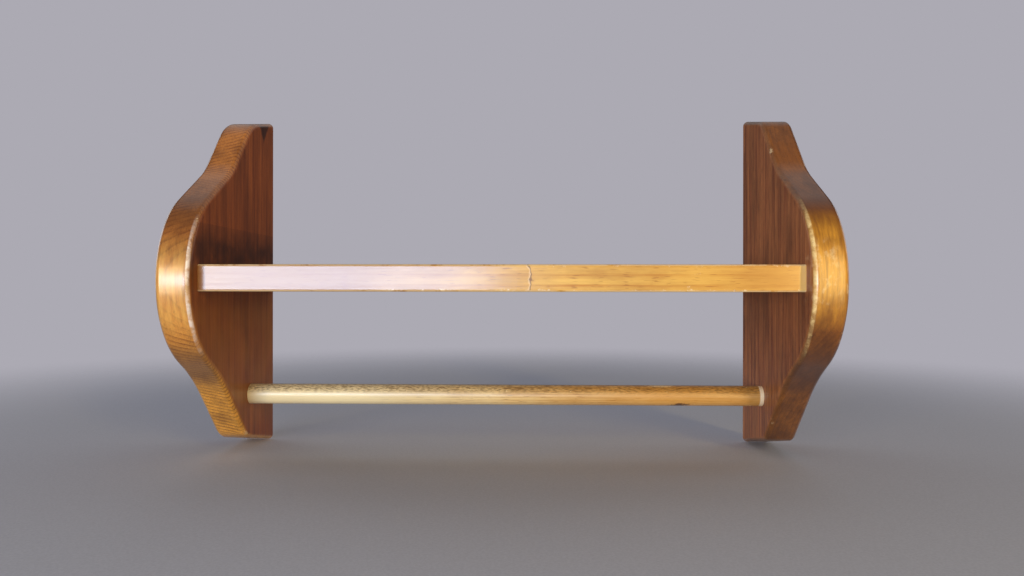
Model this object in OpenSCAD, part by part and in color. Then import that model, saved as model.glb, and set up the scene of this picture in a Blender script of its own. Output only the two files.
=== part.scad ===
// Wooden wall shelf with a towel bar.
// Two scalloped end panels carry a shelf board and a round bar between them.
// The wall is the plane y = 0 and the front of the shelf faces -y.
// The origin lies on the wall, midway between the two keyhole entries.

/* [End panels] */
// Clear width between the two end panels
inner_w = 406; // [300:1:600]
// Height of an end panel along the wall
panel_h = 274; // [262:1:290]
// Thickness of an end panel
panel_t = 24; // [20:0.5:30]
// Radius of the round-over along the panel's shaped edge
edge_round = 4; // [2:0.5:6]
// Fall of the crown and the foot towards the front, in degrees
end_fall = 12.5; // [5:0.5:20]

/* [Bulge] */
// Depth from the wall to the fullest point of the bulge
bulge_d = 158.5; // [152:0.5:175]
// Radius of the bulge
bulge_r = 69; // [62:0.5:76]
// Height of the fullest point above the panel's lowest point
bulge_level = 136; // [130:0.5:142]

/* [Upper scallop] */
// Lean of the upper shoulder away from upright, in degrees
upper_shoulder_lean = 58; // [52:0.5:64]
// Length of the upper shoulder, from the bulge to the bend
upper_shoulder_run = 47.5; // [40:0.5:55]
// Lean of the upper neck away from upright, in degrees
upper_neck_lean = 41; // [34:0.5:46]
// Radius of the upper cove
upper_cove_r = 64; // [30:1:150]
// Radius of the front corner of the left panel's crown
left_crown_corner_r = 40; // [20:1:60]
// Radius of the front corner of the right panel's crown
right_crown_corner_r = 20; // [10:1:60]

/* [Lower scallop] */
// Lean of the lower shoulder away from upright, in degrees
lower_shoulder_lean = 59; // [54:0.5:64]
// Length of the lower shoulder, from the bulge to the bend
lower_shoulder_run = 22.5; // [16:0.5:30]
// Lean of the lower neck away from upright, in degrees
lower_neck_lean = 42.5; // [36:0.5:46]
// Radius of the lower cove
lower_cove_r = 145; // [60:1:150]
// Radius of the front corner of the left panel's foot
left_foot_corner_r = 28; // [10:1:50]
// Radius of the front corner of the right panel's foot
right_foot_corner_r = 10; // [8:1:50]

/* [Shelf board] */
// Depth of the shelf board from the wall
shelf_d = 146; // [125:1:150]
// Thickness of the shelf board
shelf_t = 18.5; // [16:0.5:24]
// Height of the middle of the board above the panel's lowest point
shelf_level = 138; // [134:0.5:142]
// Radius of the eased front arrises of the board
shelf_ease = 1.5; // [0.5:0.25:3]

/* [Towel bar] */
// Diameter of the towel bar
bar_d = 16; // [12:0.5:22]
// Distance from the wall to the middle of the bar
bar_reach = 50; // [40:0.5:56]
// Height of the middle of the bar above the panel's lowest point
bar_level = 46.5; // [38:0.5:56]
// Depth of the blind socket that holds each end of the bar
socket_depth = 12; // [8:0.5:15]
// Radial clearance that lets the bar turn in its sockets
bar_clearance = 0.08; // [0.05:0.01:0.1]
// End play at each end of the bar
bar_end_play = 0.8; // [0.3:0.1:2]
// Chamfer on the ends of the bar
bar_chamfer = 1; // [0.5:0.25:2]

/* [Screws and plugs] */
// Distance of the front screws from the front of the shelf board
front_screw_inset = 32; // [22:1:50]
// Distance of the rear screws from the wall
rear_screw_inset = 32; // [22:1:50]
// Length of a screw with its head
screw_l = 38; // [32:1:50]
// Diameter of the screw's shank and thread
screw_d = 4.2; // [3.5:0.1:5]
// Diameter of the screw's head
screw_head_d = 8.2; // [7:0.1:9]
// Height of the screw's countersunk head
screw_head_h = 2.6; // [2:0.1:3.5]
// Diameter of the wooden plug
plug_d = 10; // [9.5:0.5:12]
// Length of the wooden plug
plug_l = 8; // [6:0.5:10]
// Radial clearance of the screws in their holes
screw_clearance = 0.05; // [0.03:0.01:0.15]
// Thickness of the film of glue round and behind a plug
plug_clearance = 0.05; // [0.03:0.01:0.1]

/* [Keyhole slots] */
// Height of the keyhole entries above the panel's lowest point
hang_level = 228; // [210:1:232]
// Diameter of the keyhole's round entry
key_entry_d = 10; // [9.5:0.5:12]
// Width of the slot behind the lip
key_head_w = 9.4; // [8:0.1:9.4]
// Width of the open neck of the slot
key_neck_w = 5; // [4.5:0.1:6]
// Height from the entry to the seat of the wall screw
key_rise = 12; // [10:0.5:15]
// Thickness of the lip that holds the screw's head
key_lip = 5; // [3:0.5:6]
// Depth of the keyhole into the panel
key_depth = 10.5; // [9.5:0.5:13]

/* [Hidden] */
$fn = 96;
// How far a cutting shape runs past the face that it opens
past = 1;
// Largest turn between two neighbouring stations on a panel's outline, in degrees
outline_step = 4;
// Number of facets across each rounded arris of a panel
round_steps = 5;
// Largest share of a shoulder that its cove may take
cove_limit = 0.98;
// How far a panel is lofted behind the wall before it is sawn off
sawn_off = 6;
// Depth of the bulge's own centre
bulge_centre_d = bulge_d - bulge_r;
// Diagonal of the cross recess in a screw's head
recess_l = 0.6 * screw_head_d;
recess_w = 0.11 * screw_head_d;
recess_depth = 0.6 * screw_head_h;
// Length of the point of a screw
screw_point_l = 1.4 * screw_d;
// Breadth of the small bevel on the hidden end of a plug
plug_bevel = 0.5;
// Depth of a counterbore from the panel's outer face
counterbore_depth = plug_l + plug_clearance;
socket_d = bar_d + 2 * bar_clearance;
bar_l = inner_w + 2 * (socket_depth - bar_end_play);
overall_w = inner_w + 2 * panel_t;
PANEL_WOOD = "#7b4323";
SHELF_WOOD = "#d9973f";
BAR_WOOD = "#cf9a48";
PLUG_WOOD = "#6a3418";
STEEL = "#b9b7ae";

// Height in the part's frame of a level measured from the panel's lowest point
function z_at(level) = level - hang_level;

// Outward direction at an angle, and the way along an edge that faces it
function facing(a) = [cos(a), sin(a)];
function along(a) = [-sin(a), cos(a)];

// A strip of board seen end on: its edge at x = reach has both arrises rounded
module rounded_strip(reach, thickness, ease) {
    square([reach - ease, thickness]);
    translate([reach - ease, ease])
        square([ease, thickness - 2 * ease]);
    for (upper = [false, true])
        translate([reach - ease, upper ? thickness - ease : ease])
            intersection() {
                circle(r = ease);
                translate([0, upper ? 0 : -2 * ease])
                    square(2 * ease);
            }
}

// An outline is a list of stations: [point on the edge, angle that the edge faces].
// Stations on an arc, whose radius is negative where the edge is hollow
function arc_stations(centre, r, from, to) =
    let (steps = ceil(abs(to - from) / outline_step))
    [
        for (step = [0:steps])
            let (a = from + (to - from) * step / steps)
            [centre + r * facing(a), a]
    ];

// Stations from the bulge to the wall, above the bulge's level.
// From the bulge the edge leans back along the shoulder, bends through the cove
// into the neck, and turns round the corner into the crown or the foot.
function scallop(shoulder, run, neck, cove_r, corner_r, end_h) =
    let (
        end_facing = 90 - end_fall,
        half_turn = (shoulder - neck) / 2,
        leave_bulge = [bulge_centre_d, 0] + bulge_r * facing(shoulder),
        bend = leave_bulge + run * along(shoulder),
        fit_r = min(cove_r, cove_limit * run / tan(half_turn)),
        cove_centre = bend + fit_r / cos(half_turn) * facing(neck + half_turn),
        neck_run = (end_h - bend.y - bend.x * tan(end_fall))
            / (cos(neck) - sin(neck) * tan(end_fall)),
        corner = bend + neck_run * along(neck),
        corner_centre = corner
            - corner_r / cos((end_facing - neck) / 2) * facing((end_facing + neck) / 2),
        behind_wall = corner + (corner.x + sawn_off) / cos(end_fall) * along(end_facing)
    )
    concat(
        arc_stations(cove_centre, -fit_r, shoulder, neck),
        arc_stations(corner_centre, corner_r, neck, end_facing),
        [[behind_wall, end_facing]]
    );

// The same stations below the bulge's level, from the wall to the bulge
function turned_down(stations) = [
    for (i = [len(stations) - 1:-1:0])
        let (at = stations[i][0])
        [[at.x, -at.y], -stations[i][1]]
];

// Edge of a panel seen end on, as [inset from the outline, height] across its thickness
function round_over(thickness, ease) = concat(
    [for (step = [0:round_steps])
        let (t = 90 * step / round_steps)
        [ease * (1 - sin(t)), ease * (1 - cos(t))]],
    [for (step = [0:round_steps])
        let (t = 90 * step / round_steps)
        [ease * (1 - cos(t)), thickness - ease * (1 - sin(t))]]
);

// Flat board lofted through its outline, inset and raised by each step of the section.
// Its two faces are fans about a point that sees the whole outline.
module lofted_board(stations, section, fan_at) {
    n = len(stations);
    rings = len(section);
    top = (rings - 1) * n;
    ring_points = [
        for (step = section)
            for (station = stations)
                let (at = station[0] - step[0] * facing(station[1]))
                [at.x, at.y, step[1]]
    ];
    fan_points = [
        for (step = [section[0], section[rings - 1]])
            [fan_at.x, fan_at.y, step[1]]
    ];
    side_faces = [
        for (low = [0:n:top - n])
            for (i = [0:n - 1])
                let (j = (i + 1) % n, high = low + n)
                each [[low + i, high + i, high + j], [low + i, high + j, low + j]]
    ];
    flat_faces = [
        for (i = [0:n - 1])
            let (j = (i + 1) % n)
            each [[top + n, i, j], [top + n + 1, top + j, top + i]]
    ];
    polyhedron(concat(ring_points, fan_points), concat(side_faces, flat_faces));
}

// Scalloped board with both its arrises rounded over, lying flat
module panel_blank(crown_corner_r, foot_corner_r) {
    upper = scallop(
        upper_shoulder_lean, upper_shoulder_run, upper_neck_lean, upper_cove_r,
        crown_corner_r, panel_h - bulge_level
    );
    lower = scallop(
        lower_shoulder_lean, lower_shoulder_run, lower_neck_lean, lower_cove_r,
        foot_corner_r, bulge_level
    );
    bulge = arc_stations([bulge_centre_d, 0], bulge_r, -lower_shoulder_lean, upper_shoulder_lean);
    translate([0, bulge_level, 0])
        lofted_board(
            concat(turned_down(lower), bulge, upper),
            round_over(panel_t, edge_round),
            [bulge_centre_d / 2, 0]
        );
}

// A slot with one round end, seen from the wall
module slot_face(width, rise) {
    translate([-width / 2, 0])
        square([width, rise]);
    translate([0, rise])
        intersection() {
            circle(d = width);
            translate([-width, 0])
                square([2 * width, width]);
        }
}

// Keyhole cut into the back of a panel, at the origin
module keyhole_cut() {
    rotate([90, 0, 0]) {
        translate([0, 0, -past])
            cylinder(d = key_entry_d, h = key_depth + past);
        translate([0, 0, -past])
            linear_extrude(key_lip + 2 * past)
                slot_face(key_neck_w, key_rise);
        translate([0, 0, key_lip])
            linear_extrude(key_depth - key_lip)
                slot_face(key_head_w, key_rise);
    }
}

// Stepped hole for a plug and a countersunk screw, going in along +z from z = 0
module screw_hole() {
    hole_r = screw_d / 2 + screw_clearance;
    head_r = screw_head_d / 2 + screw_clearance;
    bore_r = plug_d / 2 + plug_clearance;
    rotate_extrude()
        polygon([
            [0, -past],
            [bore_r, -past],
            [bore_r, counterbore_depth],
            [head_r, counterbore_depth],
            [hole_r, counterbore_depth + screw_head_h],
            [hole_r, panel_t + past],
            [0, panel_t + past]
        ]);
}

// Puts a thing that points along +z into the left panel's outer face, pointing at +x
module into_left_panel(inset_from_wall) {
    translate([-overall_w / 2, -inset_from_wall, z_at(shelf_level)])
        rotate([0, 90, 0])
            children();
}

module at_front() {
    into_left_panel(shelf_d - front_screw_inset)
        children();
}

module at_rear() {
    into_left_panel(rear_screw_inset)
        children();
}

// A panel stands at the left end, with its flat inner face towards +x
module standing_panel(crown_corner_r, foot_corner_r) {
    difference() {
        translate([-inner_w / 2, 0, z_at(0)])
            rotate([90, 0, -90])
                panel_blank(crown_corner_r, foot_corner_r);
        translate([-overall_w / 2 - past, 0, z_at(0) - sawn_off])
            cube([panel_t + 2 * past, 2 * sawn_off, panel_h + 2 * sawn_off]);
        translate([-inner_w / 2 - socket_depth, -bar_reach, z_at(bar_level)])
            rotate([0, 90, 0])
                cylinder(d = socket_d, h = socket_depth + past);
        at_front()
            screw_hole();
        at_rear()
            screw_hole();
        translate([-(inner_w + panel_t) / 2, 0, 0])
            keyhole_cut();
    }
}

// Countersunk wood screw pointing along +z, with its head below the plug
module wood_screw() {
    r = screw_d / 2;
    color(STEEL)
        translate([0, 0, counterbore_depth])
            difference() {
                rotate_extrude()
                    polygon([
                        [0, 0],
                        [screw_head_d / 2, 0],
                        [r, screw_head_h],
                        [r, screw_l - screw_point_l],
                        [0, screw_l]
                    ]);
                for (turn = [0, 90])
                    rotate(turn)
                        translate([-recess_l / 2, -recess_w / 2, -past])
                            cube([recess_l, recess_w, recess_depth + past]);
            }
}

// Plug whose outer end lies flush with the panel's outer face
module wooden_plug() {
    r = plug_d / 2;
    color(PLUG_WOOD)
        rotate_extrude()
            polygon([
                [0, 0],
                [r, 0],
                [r, plug_l - plug_bevel],
                [r - plug_bevel, plug_l],
                [0, plug_l]
            ]);
}

module left_end_panel() {
    color(PANEL_WOOD)
        standing_panel(left_crown_corner_r, left_foot_corner_r);
}

module right_end_panel() {
    color(PANEL_WOOD)
        mirror([1, 0, 0])
            standing_panel(right_crown_corner_r, right_foot_corner_r);
}

// Board with eased front arrises and a pilot hole for each screw
module shelf_board() {
    pilot_depth = counterbore_depth + screw_l - panel_t + past;
    color(SHELF_WOOD)
        difference() {
            translate([-inner_w / 2, 0, z_at(shelf_level) - shelf_t / 2])
                rotate([90, 0, -90])
                    mirror([0, 0, 1])
                        linear_extrude(inner_w)
                            rounded_strip(shelf_d, shelf_t, shelf_ease);
            for (side = [0, 1])
                mirror([side, 0, 0])
                    for (inset = [shelf_d - front_screw_inset, rear_screw_inset])
                        into_left_panel(inset)
                            translate([0, 0, panel_t - past])
                                cylinder(d = screw_d + 2 * screw_clearance, h = pilot_depth + past);
        }
}

// Round bar whose bevelled ends turn in the panels' blind sockets
module towel_bar() {
    r = bar_d / 2;
    color(BAR_WOOD)
        translate([-bar_l / 2, -bar_reach, z_at(bar_level)])
            rotate([0, 90, 0])
                rotate_extrude()
                    polygon([
                        [0, 0],
                        [r - bar_chamfer, 0],
                        [r, bar_chamfer],
                        [r, bar_l - bar_chamfer],
                        [r - bar_chamfer, bar_l],
                        [0, bar_l]
                    ]);
}

module front_left_screw() {
    at_front()
        wood_screw();
}

module rear_left_screw() {
    at_rear()
        wood_screw();
}

module front_right_screw() {
    mirror([1, 0, 0])
        front_left_screw();
}

module rear_right_screw() {
    mirror([1, 0, 0])
        rear_left_screw();
}

module front_left_plug() {
    at_front()
        wooden_plug();
}

module rear_left_plug() {
    at_rear()
        wooden_plug();
}

module front_right_plug() {
    mirror([1, 0, 0])
        front_left_plug();
}

module rear_right_plug() {
    mirror([1, 0, 0])
        rear_left_plug();
}

left_end_panel();
right_end_panel();
shelf_board();
towel_bar();
front_left_screw();
rear_left_screw();
front_right_screw();
rear_right_screw();
front_left_plug();
rear_left_plug();
front_right_plug();
rear_right_plug();
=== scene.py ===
"""Looks of a stained and varnished pine wall shelf with a towel bar."""
import math
import random

import bmesh
import bpy
from mathutils import Matrix, Vector, noise


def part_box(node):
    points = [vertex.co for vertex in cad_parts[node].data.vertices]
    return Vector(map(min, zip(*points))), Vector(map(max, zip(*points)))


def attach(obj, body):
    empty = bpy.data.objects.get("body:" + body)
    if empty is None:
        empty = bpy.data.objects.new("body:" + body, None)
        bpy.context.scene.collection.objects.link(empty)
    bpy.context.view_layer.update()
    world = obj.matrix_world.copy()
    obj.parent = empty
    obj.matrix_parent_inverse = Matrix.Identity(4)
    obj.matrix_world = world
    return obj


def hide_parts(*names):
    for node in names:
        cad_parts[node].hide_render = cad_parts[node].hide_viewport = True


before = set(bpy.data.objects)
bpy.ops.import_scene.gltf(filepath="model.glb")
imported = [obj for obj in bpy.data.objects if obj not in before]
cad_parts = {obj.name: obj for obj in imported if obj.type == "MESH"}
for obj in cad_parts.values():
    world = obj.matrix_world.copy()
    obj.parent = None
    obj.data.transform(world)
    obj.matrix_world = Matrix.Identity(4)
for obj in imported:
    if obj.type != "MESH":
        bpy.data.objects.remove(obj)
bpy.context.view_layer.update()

MM = 0.001

# Shape of an end panel, as the joiner would mark it out on the board. Angles are in degrees
EDGE_ROUND = 4 * MM
END_FALL = 12.5
BULGE_R = 69 * MM
BULGE_LEVEL = 136 * MM
UPPER = dict(shoulder=58, run=47.5 * MM, neck=41, cove_r=64 * MM)
LOWER = dict(shoulder=59, run=22.5 * MM, neck=42.5, cove_r=145 * MM)
CROWN_CORNER_R = {-1: 40 * MM, 1: 20 * MM}
FOOT_CORNER_R = {-1: 28 * MM, 1: 10 * MM}
BEHIND_WALL = 8 * MM
ARC_STEP = 3
EDGE_STEP = 4 * MM

# Holes and slots that the screws, plugs, bar and wall screws go into
PAST = 1 * MM
CLEARANCE = 0.05 * MM
SOCKET_DEPTH = 12 * MM
SOCKET_CLEARANCE = 0.08 * MM
SHANK_R = 2.1 * MM
HEAD_DEPTH = 2.6 * MM
KEY_ENTRY_R = 5 * MM
KEY_HEAD_R = 4.7 * MM
KEY_NECK_R = 2.5 * MM
KEY_RISE = 12 * MM
KEY_LIP = 5 * MM
KEY_DEPTH = 10.5 * MM
# Two cutters with a shared bottom leave slivers that differ from run to run, so the slot ends higher
KEY_STEP = 0.05 * MM

SHELF_EASE = 1.5 * MM
BAR_CHAMFER = 1 * MM
SHARP_ANGLE = 32

# Depth of the wear in millimetres: the saw's wander, and what hands have taken off arrises and bar
SAW_WANDER = 0.12
PANEL_ARRIS_RUB = 0.22
SHELF_ARRIS_RUB = 0.14
BAR_DIP = 0.06
CHIP_ROUGHNESS = 0.18
CHIP_INSET = 1.2 * MM

left_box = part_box("left_end_panel")
right_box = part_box("right_end_panel")
shelf_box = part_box("shelf_board")
bar_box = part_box("towel_bar")
PANEL_T = left_box[1].x - left_box[0].x
INNER_X = right_box[0].x
OUTER_X = right_box[1].x
DEPTH = -left_box[0].y
FOOT_Z = left_box[0].z
CROWN_Z = left_box[1].z
BULGE_Z = FOOT_Z + BULGE_LEVEL
BULGE_CENTRE_D = DEPTH - BULGE_R
BAR_R = (bar_box[1].z - bar_box[0].z) / 2
BAR_Y = (bar_box[1].y + bar_box[0].y) / 2
BAR_Z = (bar_box[1].z + bar_box[0].z) / 2


# Nodes and colours

def colour(code):
    """Linear colour with alpha from an sRGB hex code."""
    parts = [int(code[i:i + 2], 16) / 255 for i in (1, 3, 5)]
    return [c / 12.92 if c <= 0.04045 else ((c + 0.055) / 1.055) ** 2.4 for c in parts] + [1]


def put(tree, kind, sockets=(), stops=(), **settings):
    """Adds a node. sockets gives each input a value or the output that feeds it; stops fill a ramp."""
    made = tree.nodes.new("ShaderNode" + kind)
    for name, value in settings.items():
        setattr(made, name, value)
    for i, (place, value) in enumerate(stops):
        stop = made.color_ramp.elements[i] if i < 2 else made.color_ramp.elements.new(place)
        stop.position = place
        stop.color = value
    for socket, value in dict(sockets).items():
        if isinstance(value, bpy.types.NodeSocket):
            tree.links.new(value, made.inputs[socket])
        else:
            made.inputs[socket].default_value = value
    return made


def fresh_material(name):
    """New material and its node tree, which is still empty."""
    material = bpy.data.materials.new(name)
    material.use_nodes = True
    material.node_tree.nodes.clear()
    return material, material.node_tree


def grey(value):
    """Grey of this linear value, for the stop of a ramp that makes a share."""
    return (value, value, value, 1)


def clouds(
    tree, where, size, stretch, shares, detail=2.0, roughness=0.5, centre=(0, 0, 0), tilt=(0, 0, 0),
):
    """Cloudy texture with features of this size along x, y and z.

    stretch is the range of the noise that counts, and shares are the texture's values at its two ends.
    """
    drawn = put(tree, "Mapping", {
        "Vector": where, "Location": centre, "Rotation": tilt, "Scale": size,
    }, vector_type="TEXTURE").outputs["Vector"]
    cloud = put(tree, "TexNoise", {
        "Vector": drawn, "Scale": 1.0, "Detail": detail, "Roughness": roughness,
    }).outputs["Fac"]
    return put(tree, "MapRange", {
        "Value": cloud, "From Min": stretch[0], "From Max": stretch[1],
        "To Min": shares[0], "To Max": shares[1],
    }).outputs["Result"]


def varnished_pine(
    name, pale, dark, deep, pith, tilt, ring, depth, coat_rough=0.2, pores=0.68,
    arris_axis=None, wear=0.6, face=None, foot=None, marks=(),
):
    """Pine stained brown under a hand-brushed polyurethane varnish.

    The eye sees growth rings as dark lines with one sharp side, fine fibres along the grain,
    short dark resin canals, blotches where the stain has soaked in, and a wet-looking gloss
    that the grain breaks up. Worn arrises show the pale wood under the stain.
    pale and dark are the colours of early and late wood, and deep is that of canals and
    blotches. pith is a point on the tree's axis, tilt turns z on to that axis, ring is the
    width of a ring and depth is how strongly the rings show. Lower pores and wear give more
    dark pores and more worn arris. face gives the two colours of a panel's flat faces, which
    took more stain and less varnish than its edges, and foot a paler colour of its lower end,
    painted light where light from below falls on the shaped edge. Each mark is a flaw of this
    piece, or painted light or shade on it: a function that gives one layer, and its settings.
    Each mark is a flaw of this piece: a function that gives one layer, and its settings.
    """
    material, tree = fresh_material(name)
    coordinates = put(tree, "TexCoord").outputs
    where = coordinates["Object"]
    normal = put(tree, "SeparateXYZ", {0: coordinates["Normal"]}).outputs

    # Textures along the grain: width and length of their features in mm, detail and roughness
    # of the noise, the stretch of it that counts, and the shares at that stretch's two ends.
    # Real fibres and canals are finer than a pixel, so these are drawn as wide as they need to show
    textures = [
        ("fibre", 0.9, 40, 5, 0.62, 0.33, 0.68, 0.0, 1.0),
        ("canal", 0.8, 9, 1, 0.4, pores, pores + 0.08, 0.0, 0.55),
        ("blotch", 16, 60, 4, 0.62, 0.42, 0.68, 0.0, 0.45),
        ("clarity", 12, 30, 2, 0.5, 0.35, 0.65, 0.35 * depth, depth),
    ]
    if face is not None:
        textures.append(("band", 4, 160, 6, 0.68, 0.36, 0.66, 0.0, 1.0))
    share = {}
    for feature, wide, long, detail, roughness, low, high, least, most in textures:
        share[feature] = clouds(
            tree, where, (wide * MM, wide * MM, long * MM), (low, high), (least, most),
            detail, roughness, pith, tilt,
        )

    about_pith = put(tree, "Mapping", {
        "Vector": where, "Location": pith, "Rotation": tilt, "Scale": (ring, ring, 40 * ring),
    }, vector_type="TEXTURE").outputs["Vector"]
    rings = put(tree, "TexWave", {
        "Vector": about_pith, "Scale": math.pi / 10, "Distortion": 3.0,
        "Detail": 2.0, "Detail Scale": 0.35, "Detail Roughness": 0.55,
    }, wave_type="RINGS", rings_direction="Z", wave_profile="SAW").outputs["Fac"]
    latewood = put(tree, "ValToRGB", {"Fac": rings}, stops=[
        (0.0, grey(0.6)), (0.12, grey(0.0)), (0.5, grey(0.08)), (0.78, grey(0.45)), (0.93, grey(1.0)),
    ]).outputs["Color"]
    shown_rings = put(tree, "Math", {0: latewood, 1: share["clarity"]}, operation="MULTIPLY").outputs[0]
    grain = put(tree, "Math", {
        0: share["fibre"], 1: 0.4, 2: shown_rings,
    }, operation="MULTIPLY_ADD").outputs[0]

    # Layers of colour over the pale wood, from the wood upwards: how much of each shows, and its colour
    layers = [(grain, dark)]
    # Painted light: the lower end of the shaped edge paler, where light from below falls on it
    if foot is not None:
        height = put(tree, "SeparateXYZ", {0: where}).outputs[2]
        painted_light_at_foot = put(tree, "MapRange", {
            "Value": height, "From Min": -0.17, "From Max": -0.11, "To Min": 1.0, "To Max": 0.0,
        }).outputs["Result"]
        layers.insert(0, (painted_light_at_foot, foot))
    coat = 0.9
    rough = put(tree, "MapRange", {
        "Value": share["fibre"], "To Min": 0.34, "To Max": 0.48,
    }).outputs["Result"]
    if face is not None:
        flat = put(tree, "Math", {0: normal[0]}, operation="ABSOLUTE").outputs[0]
        on_face = put(tree, "MapRange", {
            "Value": flat, "From Min": 0.75, "From Max": 1.0,
        }).outputs["Result"]
        streak = put(tree, "Math", {
            0: latewood, 1: 0.12, 2: share["band"],
        }, operation="MULTIPLY_ADD").outputs[0]
        streak_on_face = put(tree, "Math", {0: streak, 1: on_face}, operation="MULTIPLY").outputs[0]
        layers += [(on_face, face[0]), (streak_on_face, face[1])]
        coat = put(tree, "MapRange", {"Value": on_face, "To Min": 0.9, "To Max": 0.2}).outputs["Result"]
        rough = put(tree, "Math", {0: on_face, 1: 0.12, 2: rough}, operation="MULTIPLY_ADD").outputs[0]
    layers += [(share["canal"], deep), (share["blotch"], deep)]
    for mark, settings in marks:
        layers.append(mark(tree, where, **settings))
    if arris_axis is not None:
        turned_away = put(tree, "Math", {0: normal[arris_axis]}, operation="ABSOLUTE").outputs[0]
        on_arris = put(tree, "ValToRGB", {"Fac": turned_away}, stops=[
            (0.25, grey(0.0)), (0.55, grey(1.0)), (0.82, grey(1.0)), (0.97, grey(0.0)),
        ]).outputs["Color"]
        wear_and_highlight = clouds(
            tree, where, (16.7 * MM,) * 3, (wear, wear + 0.1), (0.0, 0.7), detail=6.0, roughness=0.72,
        )
        worn = put(tree, "Math", {0: on_arris, 1: wear_and_highlight}, operation="MULTIPLY").outputs[0]
        # Bare wood is duller than varnish
        rough = put(tree, "Math", {0: worn, 1: 0.25, 2: rough}, operation="MULTIPLY_ADD").outputs[0]
        layers.append((worn, "#efd3a2"))
    wood = colour(pale)
    for cover, tint in layers:
        wood = put(tree, "Mix", {
            "Factor": cover, 6: wood, 7: colour(tint),
        }, data_type="RGBA").outputs[2]

    relief = put(tree, "Math", {
        0: share["fibre"], 1: 0.5, 2: latewood,
    }, operation="MULTIPLY_ADD").outputs[0]
    bump = put(tree, "Bump", {
        "Height": relief, "Strength": 0.25, "Distance": 0.1 * MM,
    }).outputs["Normal"]
    shader = put(tree, "BsdfPrincipled", {
        "Base Color": wood, "Roughness": rough, "IOR": 1.5, "Specular IOR Level": 0.4,
        "Coat Weight": coat, "Coat Roughness": coat_rough, "Coat IOR": 1.5, "Normal": bump,
    })
    put(tree, "OutputMaterial", {"Surface": shader.outputs[0]})
    return material


def patch(tree, where, low, high, feather):
    """1 inside a box of object space and 0 outside, fading over the feather just inside its sides.

    The middle only reaches 1 where the box is at least two feathers wide.
    """
    middle = [(a + b) / 2 for a, b in zip(low, high)]
    half = [(b - a) / 2 for a, b in zip(low, high)]
    offset = put(tree, "VectorMath", {0: where, 1: middle}, operation="SUBTRACT").outputs[0]
    apart = put(tree, "SeparateXYZ", {
        0: put(tree, "VectorMath", {0: offset}, operation="ABSOLUTE").outputs[0],
    }).outputs
    share = 1.0
    for axis in range(3):
        inside = put(tree, "MapRange", {
            "Value": apart[axis], "From Min": half[axis] - feather, "From Max": half[axis],
            "To Min": 1.0, "To Max": 0.0,
        }).outputs["Result"]
        share = put(tree, "Math", {0: share, 1: inside}, operation="MULTIPLY").outputs[0]
    return share


def on_shaped_edge(tree, full, gone):
    """1 on a panel's shaped edge and 0 on its flat faces. Both limits are of the normal's x share."""
    normal = put(tree, "SeparateXYZ", {0: put(tree, "TexCoord").outputs["Normal"]}).outputs[0]
    flat = put(tree, "Math", {0: normal}, operation="ABSOLUTE").outputs[0]
    return put(tree, "MapRange", {
        "Value": flat, "From Min": full, "From Max": gone, "To Min": 1.0, "To Max": 0.0,
    }).outputs["Result"]


def on_left_inner_face(tree, where, low, high):
    """1 on the left panel's flat inner face between two heights, and 0 elsewhere."""
    return patch(tree, where, (-INNER_X - MM, -0.17, low), (-INNER_X + MM, 0.03, high), 0.4 * MM)


def painted_light_on_face(tree, where, low, high, feather, face_low, face_high, size, least, most, tint):
    """Painted shade and painted light, in clouds, on the left panel's inner face.

    It fades out towards low and high, and stops at face_low and face_high.
    """
    stain_and_light_clouds = clouds(tree, where, (size,) * 3, (0.3, 0.6), (least, most), detail=4.0)
    reach = patch(tree, where, (-0.25, -0.17, low), (-0.16, 0.03, high), feather)
    face = on_left_inner_face(tree, where, face_low, face_high)
    here = put(tree, "Math", {0: reach, 1: face}, operation="MULTIPLY").outputs[0]
    return put(tree, "Math", {0: here, 1: stain_and_light_clouds}, operation="MULTIPLY").outputs[0], tint


def crown_dark_triangle(tree, where, middle, tip, half_width, most, tint):
    """Dark upside-down triangle on the inner face near the left crown."""
    spot = put(tree, "SeparateXYZ", {0: where}).outputs
    blur = put(tree, "TexNoise", {"Vector": where, "Scale": 1 / (3 * MM), "Detail": 2.0}).outputs["Fac"]
    aside = put(tree, "Math", {0: spot[1], 1: middle}, operation="SUBTRACT").outputs[0]
    aside = put(tree, "Math", {0: aside}, operation="ABSOLUTE").outputs[0]
    reach = put(tree, "MapRange", {
        "Value": spot[2], "From Min": tip, "From Max": CROWN_Z, "To Min": 0.0, "To Max": half_width,
    }, clamp=False).outputs["Result"]
    edge = put(tree, "Math", {0: reach, 1: aside}, operation="SUBTRACT").outputs[0]
    edge = put(tree, "Math", {0: blur, 1: 2 * MM, 2: edge}, operation="MULTIPLY_ADD").outputs[0]
    inside = put(tree, "MapRange", {
        "Value": edge, "From Min": 0.0, "From Max": 2.5 * MM, "To Min": 0.0, "To Max": most,
    }).outputs["Result"]
    face = on_left_inner_face(tree, where, 0.02, 0.06)
    return put(tree, "Math", {0: inside, 1: face}, operation="MULTIPLY").outputs[0], tint


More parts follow.
